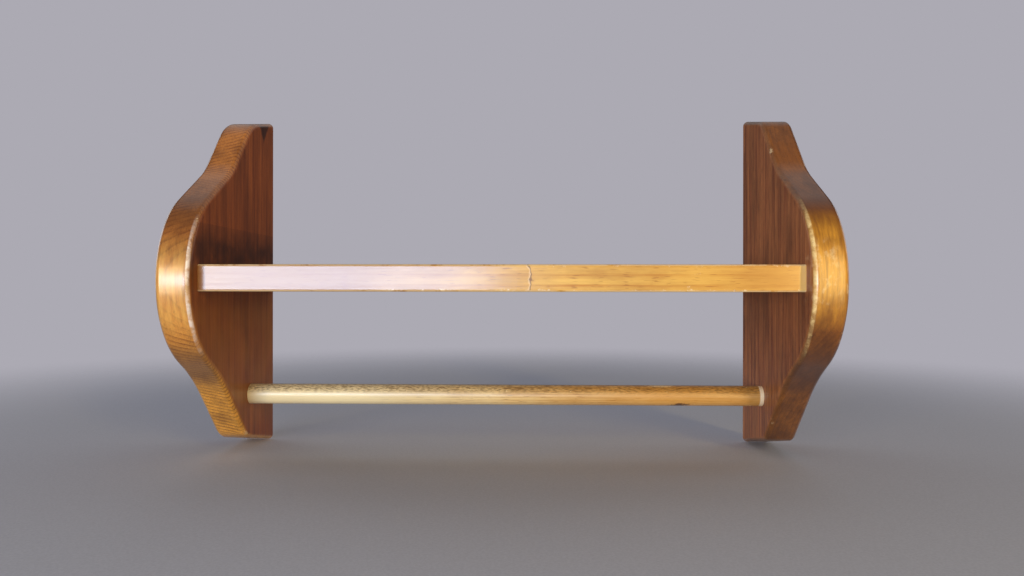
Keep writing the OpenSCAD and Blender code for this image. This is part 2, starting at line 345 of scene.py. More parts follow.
def pooled_stain_and_shade(tree, where, most, tint):
    """Darker, greyer hollows of a panel's shaped edge: stain that pooled there, painted shade and a
    painted grey reflection.
    """
    height = put(tree, "SeparateXYZ", {0: where}).outputs[2]
    level = put(tree, "MapRange", {
        "Value": height, "From Min": FOOT_Z, "From Max": CROWN_Z, "To Min": 0.0, "To Max": 1.0,
    }).outputs["Result"]
    # By share of the panel's height: first the lower hollow, then the upper one
    hollows = put(tree, "ValToRGB", {"Fac": level}, stops=[
        (0.19, grey(0.0)), (0.25, grey(1.0)), (0.29, grey(1.0)), (0.36, grey(0.0)),
        (0.56, grey(0.0)), (0.64, grey(0.8)), (0.70, grey(1.0)), (0.78, grey(0.0)),
    ]).outputs["Color"]
    pooled_and_shaded = put(tree, "Math", {0: hollows, 1: most}, operation="MULTIPLY").outputs[0]
    on_edge = on_shaped_edge(tree, 0.5, 0.95)
    return put(tree, "Math", {0: pooled_and_shaded, 1: on_edge}, operation="MULTIPLY").outputs[0], tint


def edge_stain(
    tree, where, side, low, high, most, tint, size, roughness, least, feather, back, full,
):
    """Stain of another thickness, in clouds, on a panel's shaped edge from low to high.

    least is the thinnest share of most, back is the depth at which it ends before the wall, and
    full is the greatest sideways share of the normal at which it is still at full strength.
    """
    stain_and_light_clouds = clouds(
        tree, where, size, (0.36, 0.62), (least * most, most), detail=5.0, roughness=roughness,
    )
    across = sorted((side * (INNER_X - feather), side * (OUTER_X + feather)))
    reach = patch(tree, where, (across[0], -0.19, low), (across[1], back, high), feather)
    on_edge = on_shaped_edge(tree, full, 0.95)
    here = put(tree, "Math", {0: on_edge, 1: reach}, operation="MULTIPLY").outputs[0]
    return put(tree, "Math", {0: here, 1: stain_and_light_clouds}, operation="MULTIPLY").outputs[0], tint


def worn_arris_and_highlight(tree, where, side, low, high, most, tint):
    """Painted highlight along the inner arris of a bulge, where the lamps' reflection runs, over pale
    wood that hands have worn through.
    """
    normal = put(tree, "SeparateXYZ", {0: put(tree, "TexCoord").outputs["Normal"]}).outputs[0]
    inwards = put(tree, "Math", {0: normal, 1: -side}, operation="MULTIPLY").outputs[0]
    on_arris = put(tree, "ValToRGB", {"Fac": inwards}, stops=[
        (0.22, grey(0.0)), (0.42, grey(1.0)), (0.66, grey(1.0)), (0.86, grey(0.0)),
    ]).outputs["Color"]
    wear_and_highlight = clouds(
        tree, where, (7 * MM,) * 3, (0.42, 0.60), (0.2 * most, most), detail=5.0, roughness=0.65,
    )
    feather = 26 * MM
    across = sorted((side * (INNER_X - feather), side * (INNER_X + EDGE_ROUND + feather)))
    reach = patch(tree, where, (across[0], -0.21, low), (across[1], -0.09, high), feather)
    here = put(tree, "Math", {0: on_arris, 1: reach}, operation="MULTIPLY").outputs[0]
    return put(tree, "Math", {0: here, 1: wear_and_highlight}, operation="MULTIPLY").outputs[0], tint


def bulge_scuffs(tree, where, low, high, most, tint):
    """Pale scuffs where something has rubbed on the right bulge."""
    shown = clouds(
        tree, where, (3.2 * MM, 8 * MM, 5 * MM), (0.52, 0.72), (0.0, most),
        detail=3.0, roughness=0.6, tilt=(0, 0.25, 0),
    )
    wear_and_highlight = patch(tree, where, low, high, 7 * MM)
    return put(tree, "Math", {0: shown, 1: wear_and_highlight}, operation="MULTIPLY").outputs[0], tint


def shelf_crack(tree, where, x, z, bow, half_width, most, tint):
    """Fine crack across the shelf's front through (x, z). bow is how strongly it bends to the right."""
    spot = put(tree, "SeparateXYZ", {0: where}).outputs
    wobble = put(tree, "TexNoise", {
        "Vector": where, "Scale": 1 / (4 * MM), "Detail": 3.0,
    }).outputs["Fac"]
    off_middle = put(tree, "Math", {0: spot[2], 1: z}, operation="SUBTRACT").outputs[0]
    squared = put(tree, "Math", {0: off_middle, 1: off_middle}, operation="MULTIPLY").outputs[0]
    aside = put(tree, "Math", {0: squared, 1: bow, 2: spot[0]}, operation="MULTIPLY_ADD").outputs[0]
    aside = put(tree, "Math", {0: wobble, 1: 5 * MM, 2: aside}, operation="MULTIPLY_ADD").outputs[0]
    aside = put(tree, "Math", {0: aside, 1: x}, operation="SUBTRACT").outputs[0]
    aside = put(tree, "Math", {0: aside}, operation="ABSOLUTE").outputs[0]
    line = put(tree, "MapRange", {
        "Value": aside, "From Min": 0.4 * half_width, "From Max": half_width,
        "To Min": most, "To Max": 0.0,
    }).outputs["Result"]
    front = patch(tree, where, (0.01, -0.16, -0.1), (0.035, -0.135, -0.06), 2 * MM)
    return put(tree, "Math", {0: line, 1: front}, operation="MULTIPLY").outputs[0], tint


def edge_rub(tree, where, level, low, high, most, tint):
    """Varnish and stain rubbed off in flecks along a front edge of the shelf, at this level."""
    spot = put(tree, "SeparateXYZ", {0: where}).outputs
    flecks = put(tree, "TexNoise", {
        "Vector": where, "Scale": 1 / (4.5 * MM), "Detail": 5.0, "Roughness": 0.7,
    }).outputs["Fac"]
    away = put(tree, "Math", {0: spot[2], 1: level}, operation="SUBTRACT").outputs[0]
    away = put(tree, "Math", {0: away}, operation="ABSOLUTE").outputs[0]
    nearness = put(tree, "MapRange", {
        "Value": away, "From Min": 0.0, "From Max": 1.8 * MM, "To Min": 0.14, "To Max": 0.0,
    }).outputs["Result"]
    bare = put(tree, "Math", {0: flecks, 1: nearness}, operation="ADD").outputs[0]
    shown = put(tree, "MapRange", {
        "Value": bare, "From Min": 0.68, "From Max": 0.76, "To Min": 0.0, "To Max": most,
    }).outputs["Result"]
    stretch = patch(tree, where, (low, -0.16, level - 0.01), (high, -0.14, level + 0.01), 7 * MM)
    return put(tree, "Math", {0: shown, 1: stretch}, operation="MULTIPLY").outputs[0], tint


def stain_and_sheen_drift(tree, where, start, stop, most, tint):
    """Colour that drifts along a board or bar, from none at x = start to most at x = stop: stain,
    except towards the bar's left end, where it is a painted highlight.
    """
    along_piece = put(tree, "SeparateXYZ", {0: where}).outputs[0]
    cloud = put(tree, "TexNoise", {
        "Vector": where, "Scale": 1 / (30 * MM), "Detail": 3.0,
    }).outputs["Fac"]
    strayed = 60 * MM
    uneven = put(tree, "Math", {
        0: cloud, 1: strayed, 2: along_piece,
    }, operation="MULTIPLY_ADD").outputs[0]
    grown = put(tree, "MapRange", {
        "Value": uneven, "From Min": start + strayed / 2, "From Max": stop + strayed / 2,
        "To Min": 0.0, "To Max": most,
    }).outputs["Result"]
    return grown, tint


def pale_end(tree, where, start, stop, most, tint):
    """Paler right end of the shelf or the bar. It begins between start and stop. On the shelf it is
    also painted light, which fills the shadow the right bulge casts there.
    """
    along_piece = put(tree, "SeparateXYZ", {0: where}).outputs[0]
    band = put(tree, "MapRange", {
        "Value": along_piece, "From Min": start, "From Max": stop, "To Min": 0.0, "To Max": most,
    }).outputs["Result"]
    return band, tint


def shelf_front(tree, where, mark, **settings):
    """Another mark, kept to the front of the shelf's right end."""
    share, tint = mark(tree, where, **settings)
    front = patch(tree, where, (0.18, -0.16, -0.11), (0.21, -0.138, -0.06), 1 * MM)
    return put(tree, "Math", {0: share, 1: front}, operation="MULTIPLY").outputs[0], tint


def bar_pores(tree, where, least, most, tint):
    """Dark open pores in short dashes on the side of the bar that faces up at rest.

    They are drawn wider than real ones, which the photograph's distance would hide.
    """
    shown = clouds(tree, where, (3 * MM, 0.9 * MM, 0.9 * MM), (0.42, 0.62), (least, most))
    height = put(tree, "SeparateXYZ", {0: where}).outputs[2]
    upper = put(tree, "MapRange", {
        "Value": height, "From Min": BAR_Z + 1 * MM, "From Max": BAR_Z + 5 * MM,
        "To Min": 0.0, "To Max": 1.0,
    }).outputs["Result"]
    return put(tree, "Math", {0: shown, 1: upper}, operation="MULTIPLY").outputs[0], tint


def bar_nicks(tree, where, most, tint):
    """Sparse pale nicks where the varnish has flaked off the bar."""
    return clouds(tree, where, (3.2 * MM,) * 3, (0.71, 0.75), (0.0, most)), tint


def bar_spot(tree, where, x, up, length, width, most, tint):
    """One ragged spot, such as a knot or a flake, on the front half of the bar.

    up is its height above the bar's middle as a share of the bar's radius.
    """
    middle = (x, BAR_Y - BAR_R * math.sqrt(1 - up ** 2), BAR_Z + BAR_R * up)
    off = put(tree, "Mapping", {
        "Vector": where, "Location": middle, "Scale": (length / 2, width / 2, width / 2),
    }, vector_type="TEXTURE").outputs["Vector"]
    away = put(tree, "VectorMath", {0: off}, operation="LENGTH").outputs["Value"]
    ragged = put(tree, "TexNoise", {
        "Vector": where, "Scale": 1 / (2 * MM), "Detail": 5.0,
    }).outputs["Fac"]
    edge = put(tree, "Math", {0: ragged, 1: 2.4, 2: away}, operation="MULTIPLY_ADD").outputs[0]
    shown = put(tree, "MapRange", {
        "Value": edge, "From Min": 1.8, "From Max": 2.2, "To Min": most, "To Max": 0.0,
    }).outputs["Result"]
    return shown, tint


def bare_pine(name):
    """Broken pine under the varnish: pale, dry and fibrous, seen in the chips on the arrises."""
    material, tree = fresh_material(name)
    where = put(tree, "TexCoord").outputs["Object"]
    torn = put(tree, "TexNoise", {
        "Vector": where, "Scale": 1 / (1.2 * MM), "Detail": 4.0, "Roughness": 0.7,
    }).outputs["Fac"]
    wood = put(tree, "ValToRGB", {"Fac": torn}, stops=[
        (0.3, colour("#b98a58")), (0.65, colour("#f0d9b4")),
    ]).outputs["Color"]
    bump = put(tree, "Bump", {"Height": torn, "Strength": 0.5, "Distance": 0.2 * MM}).outputs["Normal"]
    shader = put(tree, "BsdfPrincipled", {"Base Color": wood, "Roughness": 0.75, "Normal": bump})
    put(tree, "OutputMaterial", {"Surface": shader.outputs[0]})
    return material


def zinc_plated_steel(name):
    """Bright zinc plate on a wood screw: cool grey with faint yellow blotches, slightly dulled."""
    material, tree = fresh_material(name)
    where = put(tree, "TexCoord").outputs["Object"]
    dull = put(tree, "TexNoise", {
        "Vector": where, "Scale": 1 / (2.5 * MM), "Detail": 5.0, "Roughness": 0.6,
    }).outputs["Fac"]
    plate = put(tree, "ValToRGB", {"Fac": dull}, stops=[
        (0.35, colour("#a9a79c")), (0.65, colour("#cfcfca")),
    ]).outputs["Color"]
    rough = put(tree, "MapRange", {
        "Value": dull, "From Min": 0.3, "From Max": 0.7, "To Min": 0.3, "To Max": 0.48,
    }).outputs["Result"]
    bump = put(tree, "Bump", {"Height": dull, "Strength": 0.2, "Distance": 0.05 * MM}).outputs["Normal"]
    shader = put(tree, "BsdfPrincipled", {
        "Base Color": plate, "Metallic": 1.0, "Roughness": rough, "Normal": bump,
    })
    put(tree, "OutputMaterial", {"Surface": shader.outputs[0]})
    return material


# Shaping tools

def place_mesh(bm, name, materials):
    """Makes an object at the origin from a bmesh."""
    mesh = bpy.data.meshes.new(name)
    bm.to_mesh(mesh)
    bm.free()
    for material in materials:
        mesh.materials.append(material)
    made = bpy.data.objects.new(name, mesh)
    bpy.context.scene.collection.objects.link(made)
    return made


def turned(profile, steps):
    """Solid of revolution about the x axis from (x, radius) points, the first and last on the axis."""
    bm = bmesh.new()
    points = [bm.verts.new((x, 0, r)) for x, r in profile]
    edges = [bm.edges.new(pair) for pair in zip(points, points[1:])]
    bmesh.ops.spin(
        bm, geom=points + edges, cent=(0, 0, 0), axis=(1, 0, 0), angle=2 * math.pi,
        steps=steps, use_merge=True, use_duplicate=False,
    )
    bmesh.ops.remove_doubles(bm, verts=bm.verts[:], dist=1e-7)
    bmesh.ops.recalc_face_normals(bm, faces=bm.faces[:])
    return bm


def carve(piece, tools):
    """Cuts the tools out of a piece and discards them. A cut takes the tool's material."""
    for tool in tools:
        for material in piece.data.materials[len(tool.data.materials):]:
            tool.data.materials.append(material)
        cut = piece.modifiers.new(tool.name, "BOOLEAN")
        cut.operation = "DIFFERENCE"
        cut.solver = "EXACT"
        cut.object = tool
    graph = bpy.context.evaluated_depsgraph_get()
    carved = bpy.data.meshes.new_from_object(piece.evaluated_get(graph))
    piece.modifiers.clear()
    piece.data = carved
    for tool in tools:
        bpy.data.objects.remove(tool)


def soften(piece):
    """Smooth shading that keeps the flats flat and the real edges sharp."""
    bm = bmesh.new()
    bm.from_mesh(piece.data)
    for edge in bm.edges:
        edge.smooth = edge.calc_face_angle(math.pi) < math.radians(SHARP_ANGLE)
    for face in bm.faces:
        face.smooth = True
    bm.to_mesh(piece.data)
    bm.free()
    normals = piece.modifiers.new("flat_faces", "WEIGHTED_NORMAL")
    normals.keep_sharp = True
    normals.weight = 100


def to_side(bm, side):
    """Turns a cutter that was made for the right side over to the left one."""
    if side < 0:
        bmesh.ops.scale(bm, vec=(-1, 1, 1), verts=bm.verts[:])
        bmesh.ops.recalc_face_normals(bm, faces=bm.faces[:])


def hand_in(piece, body, node):
    """Attaches a piece to the body that carries it and hides the solid from model.glb that it stands
    for.
    """
    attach(piece, body)
    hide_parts(node)


def chip_tools(places, rng):
    """Small knobbly cutters, each biting a pale chip out of an arris at (point, size)."""
    tools = []
    for point, size in places:
        bm = bmesh.new()
        bmesh.ops.create_icosphere(bm, subdivisions=2, radius=size)
        for vert in bm.verts:
            vert.co *= 1 + rng.uniform(-CHIP_ROUGHNESS, CHIP_ROUGHNESS)
        stretch = (rng.uniform(0.7, 1.1), rng.uniform(0.7, 1.1), rng.uniform(0.9, 1.7))
        bmesh.ops.scale(bm, vec=stretch, verts=bm.verts[:])
        bmesh.ops.translate(bm, vec=point, verts=bm.verts[:])
        for face in bm.faces:
            face.material_index = 1
        tools.append(place_mesh(bm, "chip_tool", []))
    return tools


# End panels

def facing(angle):
    """Outward direction at an angle above level, as (depth, height)."""
    return Vector((math.cos(math.radians(angle)), math.sin(math.radians(angle))))


def along(angle):
    """Direction of an edge that faces at this angle, from the foot towards the crown."""
    return Vector((-math.sin(math.radians(angle)), math.cos(math.radians(angle))))


def scallop(end_height, corner_r, shoulder, run, neck, cove_r):
    """Centres of the cove and the corner, and where the end passes behind the wall."""
    fall = math.tan(math.radians(END_FALL))
    end_facing = 90 - END_FALL
    half_turn = math.radians(shoulder - neck) / 2
    leave_bulge = Vector((BULGE_CENTRE_D, 0)) + BULGE_R * facing(shoulder)
    bend = leave_bulge + run * along(shoulder)
    cove_centre = bend + cove_r / math.cos(half_turn) * facing((shoulder + neck) / 2)
    neck_angle = math.radians(neck)
    rise = math.cos(neck_angle) - math.sin(neck_angle) * fall
    neck_run = (end_height - bend.y - bend.x * fall) / rise
    corner = bend + neck_run * along(neck)
    half_corner = math.radians(end_facing - neck) / 2
    corner_centre = corner - corner_r / math.cos(half_corner) * facing((end_facing + neck) / 2)
    behind = corner + (corner.x + BEHIND_WALL) / math.cos(math.radians(END_FALL)) * along(end_facing)
    return cove_centre, corner_centre, behind


def panel_outline(bm, side):
    """Draws the panel's outline in the plane x = 0, from the foot behind the wall to the crown."""
    end_facing = 90 - END_FALL
    foot_r = FOOT_CORNER_R[side]
    crown_r = CROWN_CORNER_R[side]
    low_cove, low_corner, low_end = scallop(BULGE_LEVEL, foot_r, **LOWER)
    cove, corner, end = scallop(CROWN_Z - BULGE_Z, crown_r, **UPPER)

    def at(point, up=1):
        return Vector((0, -point.x, BULGE_Z + up * point.y))

    # Each arc: centre, radius (negative where hollow), facing at its start and at its end
    arcs = [
        (at(low_corner, -1), foot_r, -end_facing, -LOWER["neck"]),
        (at(low_cove, -1), -LOWER["cove_r"], -LOWER["neck"], -LOWER["shoulder"]),
        (at(Vector((BULGE_CENTRE_D, 0))), BULGE_R, -LOWER["shoulder"], UPPER["shoulder"]),
        (at(cove), -UPPER["cove_r"], UPPER["shoulder"], UPPER["neck"]),
        (at(corner), crown_r, UPPER["neck"], end_facing),
    ]
    first = tip = bm.verts.new(at(low_end, -1))
    for centre, radius, start, stop in arcs:
        out = facing(start)
        begin = bm.verts.new(centre + radius * Vector((0, -out.x, out.y)))
        bm.edges.new((tip, begin))
        steps = math.ceil(abs(stop - start) / ARC_STEP)
        spun = bmesh.ops.spin(
            bm, geom=[begin], cent=centre, axis=(-1, 0, 0),
            angle=math.radians(stop - start), steps=steps, use_duplicate=False,
        )
        tip = next(v for v in spun["geom_last"] if isinstance(v, bmesh.types.BMVert))
    last = bm.verts.new(at(end))
    bm.edges.new((tip, last))
    bm.edges.new((last, first))
    long_edges = [
        e for e in bm.edges if e.calc_length() > 2 * EDGE_STEP and set(e.verts) != {first, last}
    ]
    for edge in long_edges:
        bmesh.ops.subdivide_edges(bm, edges=[edge], cuts=int(edge.calc_length() / EDGE_STEP))


def hand_worked(bm, side):
    """Lets the sawn and sanded edge wander inwards by up to half a millimetre."""
    bm.normal_update()
    shift = Vector((7.3 * side, 3.1, 0.4))
    for vert in bm.verts:
        if -2 * MM < vert.co.y:
            continue
        inwards = Vector((0, -vert.normal.y, -vert.normal.z))
        if inwards.length < 0.05:
            continue
        inwards.normalize()
        slow = noise.noise(vert.co / (18 * MM) + shift)
        # 1 halfway round the arris, where the normal's sideways share is 0.7, and 0 on either side
        on_arris = max(0, 1 - abs(abs(vert.normal.x) - 0.7) / 0.35)
        quick = noise.noise(vert.co / (5 * MM) + shift)
        depth = SAW_WANDER * (1 + slow) + PANEL_ARRIS_RUB * on_arris * (1 + quick)
        vert.co += inwards * MM * depth


def keyhole_tools(side):
    """Cutters for a routed keyhole: a round entry, an open neck and a wider slot behind the lip."""
    x = side * (INNER_X + PANEL_T / 2)
    tools = []
    for radius, rise, near, far in (
        (KEY_ENTRY_R, 0, -PAST, KEY_DEPTH),
        (KEY_NECK_R, KEY_RISE, -PAST, KEY_LIP + PAST),
        (KEY_HEAD_R, KEY_RISE, KEY_LIP, KEY_DEPTH - KEY_STEP),
    ):
        bm = bmesh.new()
        bmesh.ops.create_circle(bm, cap_ends=True, radius=radius, segments=46)
        bmesh.ops.rotate(bm, verts=bm.verts[:], matrix=Matrix.Rotation(math.pi / 2, 3, "X"))
        upper = [v for v in bm.verts if v.co.z > 1e-6]
        bmesh.ops.translate(bm, vec=(0, 0, rise), verts=upper)
        grown = bmesh.ops.extrude_face_region(bm, geom=bm.faces[:])
        top = [v for v in grown["geom"] if isinstance(v, bmesh.types.BMVert)]
        bmesh.ops.translate(bm, vec=(0, near - far, 0), verts=top)
        bmesh.ops.translate(bm, vec=(x, -near, 0), verts=bm.verts[:])
        bmesh.ops.recalc_face_normals(bm, faces=bm.faces[:])
        tools.append(place_mesh(bm, "key_tool", []))
    return tools


def hole_tools(side):
    """Cutters for the bar's blind socket and for the two stepped screw holes."""
    name = "left" if side < 0 else "right"
    socket_r = BAR_R + SOCKET_CLEARANCE
    bottom = INNER_X + SOCKET_DEPTH
    socket = [(INNER_X - PAST, 0), (INNER_X - PAST, socket_r), (bottom, socket_r), (bottom, 0)]
    bm = turned(socket, steps=72)
    bmesh.ops.translate(bm, vec=(0, BAR_Y, BAR_Z), verts=bm.verts[:])
    shapes = [bm]
    for row in ("front", "rear"):
        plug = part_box(f"{row}_{name}_plug")
        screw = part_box(f"{row}_{name}_screw")
        plug_r = (plug[1].y - plug[0].y) / 2 + CLEARANCE
        head_r = (screw[1].y - screw[0].y) / 2 + CLEARANCE
        shank_r = SHANK_R + CLEARANCE
        seat = OUTER_X - (plug[1].x - plug[0].x) - CLEARANCE
        neck = seat - HEAD_DEPTH
        bm = turned([
            (OUTER_X + PAST, 0), (OUTER_X + PAST, plug_r), (seat, plug_r), (seat, head_r),
            (neck, shank_r), (INNER_X - PAST, shank_r), (INNER_X - PAST, 0),
        ], steps=48)
        middle = (plug[0] + plug[1]) / 2
        bmesh.ops.translate(bm, vec=(0, middle.y, middle.z), verts=bm.verts[:])
        shapes.append(bm)
    tools = []
    for bm in shapes:
        to_side(bm, side)
        tools.append(place_mesh(bm, "hole_tool", []))
    return tools


def edge_point(piece, x, z):
    """A point on a panel's shaped edge at this x and about this height."""
    front = min(v.co.y for v in piece.data.vertices if abs(v.co.z - z) < 3 * MM)
    from_face = min(abs(x) - INNER_X, OUTER_X - abs(x), EDGE_ROUND)
    inset = EDGE_ROUND - math.sqrt(EDGE_ROUND ** 2 - (EDGE_ROUND - from_face) ** 2)
    return Vector((x, front + inset, z))


def end_panel(side, name, materials, chips):
    """Scalloped board with rounded arrises. side is -1 on the left and 1 on the right."""
    bm = bmesh.new()
    panel_outline(bm, side)
    bmesh.ops.contextual_create(bm, geom=bm.edges[:])
    bmesh.ops.translate(bm, vec=(side * INNER_X, 0, 0), verts=bm.verts[:])
    grown = bmesh.ops.extrude_face_region(bm, geom=bm.faces[:])
    outer = [v for v in grown["geom"] if isinstance(v, bmesh.types.BMVert)]
    bmesh.ops.translate(bm, vec=(side * PANEL_T, 0, 0), verts=outer)
    bmesh.ops.recalc_face_normals(bm, faces=bm.faces[:])
    behind = BEHIND_WALL - 0.1 * MM
    arrises = [
        e for e in bm.edges
        if abs(e.verts[0].co.x - e.verts[1].co.x) < 1e-7
        and not all(v.co.y > behind for v in e.verts)
    ]
    bmesh.ops.bevel(
        bm, geom=arrises, offset=EDGE_ROUND, offset_type="OFFSET", segments=8,
        profile=0.5, affect="EDGES", material=-1, clamp_overlap=False,
    )
    hand_worked(bm, side)
    bmesh.ops.bisect_plane(
        bm, geom=bm.verts[:] + bm.edges[:] + bm.faces[:],
        plane_co=(0, 0, 0), plane_no=(0, 1, 0), clear_outer=True,
    )
    bmesh.ops.holes_fill(bm, edges=[e for e in bm.edges if e.is_boundary], sides=0)
    bmesh.ops.recalc_face_normals(bm, faces=bm.faces[:])
    panel = place_mesh(bm, name, materials)
    rng = random.Random(name)
    places = []
    for x_share, z, size in chips:
        x = side * (INNER_X + CHIP_INSET + x_share * (PANEL_T - 2 * CHIP_INSET))
        proud = Vector((0, -0.25 * size, 0))
        places.append((edge_point(panel, x, z) + proud, size))
    carve(panel, keyhole_tools(side) + hole_tools(side) + chip_tools(places, rng))
    soften(panel)
    return panel


# Shelf board and towel bar

def shelf(materials):
    """Plain board whose front arrises were eased by hand and have worn unevenly."""
    low, high = shelf_box
    bm = bmesh.new()
    bmesh.ops.create_cube(bm, size=1)
    bmesh.ops.scale(bm, vec=high - low, verts=bm.verts[:])
    bmesh.ops.translate(bm, vec=(low + high) / 2, verts=bm.verts[:])
    lengthwise = [e for e in bm.edges if abs(e.verts[0].co.x - e.verts[1].co.x) > 0.1]
    bmesh.ops.subdivide_edges(bm, edges=lengthwise, cuts=100)
    front = [
        e for e in bm.edges
        if all(v.co.y < low.y + 1e-6 for v in e.verts)
        and abs(e.verts[0].co.z - e.verts[1].co.z) < 1e-7
    ]
    bmesh.ops.bevel(
        bm, geom=front, offset=SHELF_EASE, offset_type="OFFSET", segments=5,
        profile=0.5, affect="EDGES", material=-1, clamp_overlap=False,
    )
    bm.normal_update()
    for vert in bm.verts:
        on_arris = max(0, 1 - abs(abs(vert.normal.z) - 0.7) / 0.4)
        if vert.co.y < low.y + 2 * SHELF_EASE and abs(vert.co.x) < high.x - MM:
            rub = 1 + noise.noise(vert.co / (6 * MM))
            vert.co -= vert.normal * SHELF_ARRIS_RUB * MM * on_arris * rub
    board = place_mesh(bm, "shelf_board_worn", materials)
    tools = []
    for side, name in ((-1, "left"), (1, "right")):
        for row in ("front", "rear"):
            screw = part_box(f"{row}_{name}_screw")
            middle = (screw[0] + screw[1]) / 2
            pilot_r = SHANK_R + CLEARANCE
            tip = min(abs(screw[0].x), abs(screw[1].x)) - PAST
            pilot = [(INNER_X + PAST, 0), (INNER_X + PAST, pilot_r), (tip, pilot_r), (tip, 0)]
            bm = turned(pilot, steps=32)
            to_side(bm, side)
            bmesh.ops.translate(bm, vec=(0, middle.y, middle.z), verts=bm.verts[:])
            tools.append(place_mesh(bm, "pilot_tool", []))
    rng = random.Random("shelf")
    places = [
        (Vector((x, low.y - 0.2 * MM, z)), size)
        for x, z, size in (
            (0.1868, high.z - 0.1 * MM, 0.9 * MM), (0.1560, low.z + 0.1 * MM, 1.3 * MM),
            (-0.1200, high.z, 0.6 * MM), (0.0450, low.z, 0.7 * MM), (-0.0500, low.z, 0.8 * MM),
        )
    ]
    carve(board, tools + chip_tools(places, rng))
    soften(board)
    return board


def bar(materials):
    """Dowel with bevelled ends, a hair out of round along its length."""
    low, high = bar_box
    bm = turned([
        (low.x, 0), (low.x, BAR_R - BAR_CHAMFER), (low.x + BAR_CHAMFER, BAR_R),
        (high.x - BAR_CHAMFER, BAR_R), (high.x, BAR_R - BAR_CHAMFER), (high.x, 0),
    ], steps=64)
    bmesh.ops.translate(bm, vec=(0, BAR_Y, BAR_Z), verts=bm.verts[:])
    long_edges = [e for e in bm.edges if abs(e.verts[0].co.x - e.verts[1].co.x) > 0.1]
    bmesh.ops.subdivide_edges(bm, edges=long_edges, cuts=70)
    for vert in bm.verts:
        if abs(vert.co.x) < INNER_X - MM:
            centre = Vector((vert.co.x, BAR_Y, BAR_Z))
            stretched = Vector((vert.co.x / 3, vert.co.y, vert.co.z))
            dip = 1 + noise.noise(stretched / (9 * MM))
            vert.co -= (vert.co - centre).normalized() * BAR_DIP * MM * dip
    dowel = place_mesh(bm, "towel_bar_turned", materials)
    soften(dowel)
    return dowel


# Two ways in which the stain on a panel's shaped edge is uneven: brushed on too thickly, and rubbed
# thin to golden wood by hands and towels
THICK = dict(
    size=(6 * MM, 14 * MM, 14 * MM), roughness=0.65, least=0.3, feather=9 * MM, back=-0.002, full=0.5,
)
RUBBED = dict(
    size=(2.5 * MM, 20 * MM, 24 * MM), roughness=0.6, least=0.4, feather=16 * MM, back=-0.012, full=0.6,
)
# Painted shade and a painted grey reflection in the hollows, over stain that pooled there
POOLED_AND_SHADE = dict(most=0.55, tint="#4c2c1e")

BARE = bare_pine("bare_pine_in_chips")
LEFT_PINE = varnished_pine(
    "varnished_pine_left_panel", "#ca8036", "#72380f", "#4f250c",
    pith=(-0.317, 0.286, -0.09), tilt=(0, 0, 0), ring=2.6 * MM, depth=0.65, arris_axis=0,
    # foot is painted light on the lower end of the shaped edge
    face=("#ad5f28", "#7a3b17"), foot="#ffb440",
    marks=[
        (edge_stain, dict(RUBBED, side=-1, low=-0.132, high=-0.060, most=0.6, tint="#f0b85a")),
        (edge_stain, dict(THICK, side=-1, low=-0.084, high=-0.032, most=0.4, tint="#4a200c")),
        (pooled_stain_and_shade, POOLED_AND_SHADE),
        (crown_dark_triangle, dict(middle=-0.0225, tip=0.0255, half_width=15.5 * MM, most=0.8, tint="#2b1410")),
        # Painted shade above the joint with the shelf, where the shelf shades the face
        (painted_light_on_face, dict(
            low=-0.105, high=-0.045, feather=22 * MM, face_low=-0.100, face_high=-0.052,
            size=14 * MM, least=0.35, most=0.75, tint="#2a1107",
        )),
        # Painted light, paler and yellower below the shelf, where more light reaches the face
        (painted_light_on_face, dict(
            low=-0.215, high=-0.094, feather=20 * MM, face_low=-0.230, face_high=-0.080,
            size=25 * MM, least=0.2, most=0.45, tint="#b4762c",
        )),
        # Painted highlight along the left bulge's inner arris, over worn wood
        (worn_arris_and_highlight, dict(side=-1, low=-0.146, high=-0.046, most=0.9, tint="#fbece0")),
    ],
)
RIGHT_PINE = varnished_pine(
    "varnished_pine_right_panel", "#a3621c", "#552a0a", "#3c1e0a",
    pith=(0.300, -0.07, -0.09), tilt=(0, 0.03, 0), ring=3.2 * MM, depth=0.35, coat_rough=0.3,
    pores=0.64, arris_axis=0, face=("#bd7641", "#824321"),
    marks=[
        (edge_stain, dict(THICK, side=1, low=-0.240, high=-0.119, most=0.6, tint="#3f1c08")),
        (edge_stain, dict(THICK, side=1, low=-0.046, high=0.060, most=0.5, tint="#3f1c08")),
        (pooled_stain_and_shade, POOLED_AND_SHADE),
        (edge_stain, dict(RUBBED, side=1, low=-0.125, high=-0.043, most=0.8, tint="#eba733")),
        (edge_stain, dict(RUBBED, side=1, low=-0.018, high=0.028, most=0.4, tint="#a8621c")),
        (edge_stain, dict(THICK, side=1, low=-0.074, high=-0.034, most=0.5, tint="#6b3a10")),
        (edge_stain, dict(THICK, side=1, low=-0.130, high=-0.098, most=0.5, tint="#6b3a10")),
        # Painted highlight along the right bulge's inner arris, over worn wood
        (worn_arris_and_highlight, dict(side=1, low=-0.148, high=-0.032, most=0.9, tint="#ffdf9a")),
        (bulge_scuffs, dict(
            low=(0.199, -0.17, -0.112), high=(0.223, -0.14, -0.062), most=0.36, tint="#f3dcae",
        )),
    ],
)
